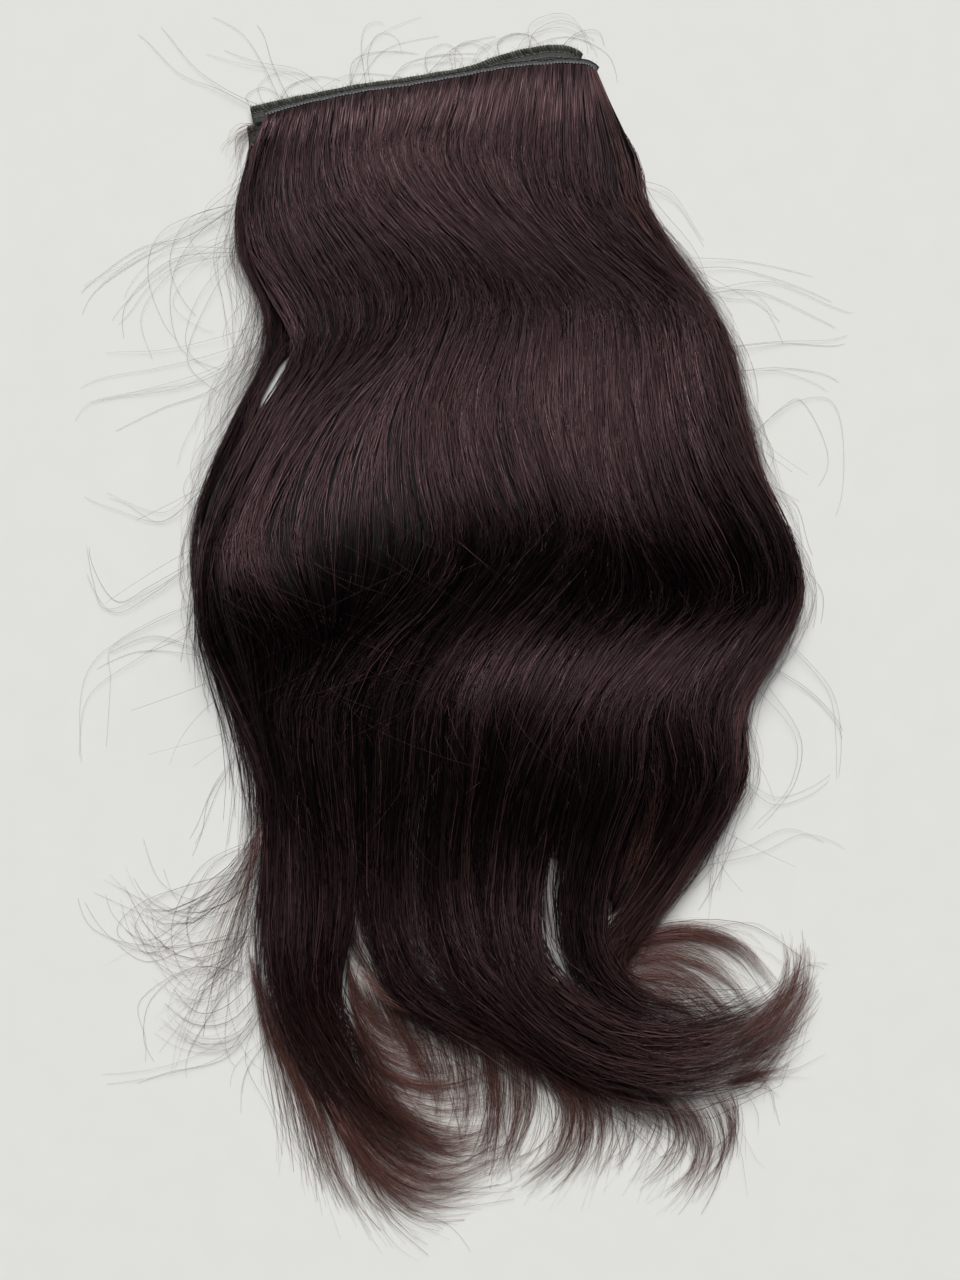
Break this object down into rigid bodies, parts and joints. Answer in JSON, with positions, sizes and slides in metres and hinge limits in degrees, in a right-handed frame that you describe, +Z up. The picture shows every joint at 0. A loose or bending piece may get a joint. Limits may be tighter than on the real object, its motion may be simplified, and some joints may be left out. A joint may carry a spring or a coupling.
{
  "type": "hair extension",
  "caption": "Wefted hair extension lying flat: sewn bands stacked along the top edge, each with a long fall of dark wavy hair that parts into curled locks at the tips.",
  "frame": {"origin": "middle of the outline, on the table", "axes": "+X to the right across the fall, +Y from the tips to the sewn bands, +Z up from the table"},
  "size_m": [0.2974, 0.5002, 0.0254],
  "materials": {
    "hair": "dark brown-black hair with a soft sheen and a reddish cast where it thins",
    "band": "dark grey machine-stitched weft band, fuzzy along its sewn edge"
  },
  "bodies": {
    "root": {"back_band": "band", "back_hair": "hair", "middle_band": "band", "middle_hair": "hair", "front_band": "band", "front_hair": "hair"}
  },
  "joints": []
}
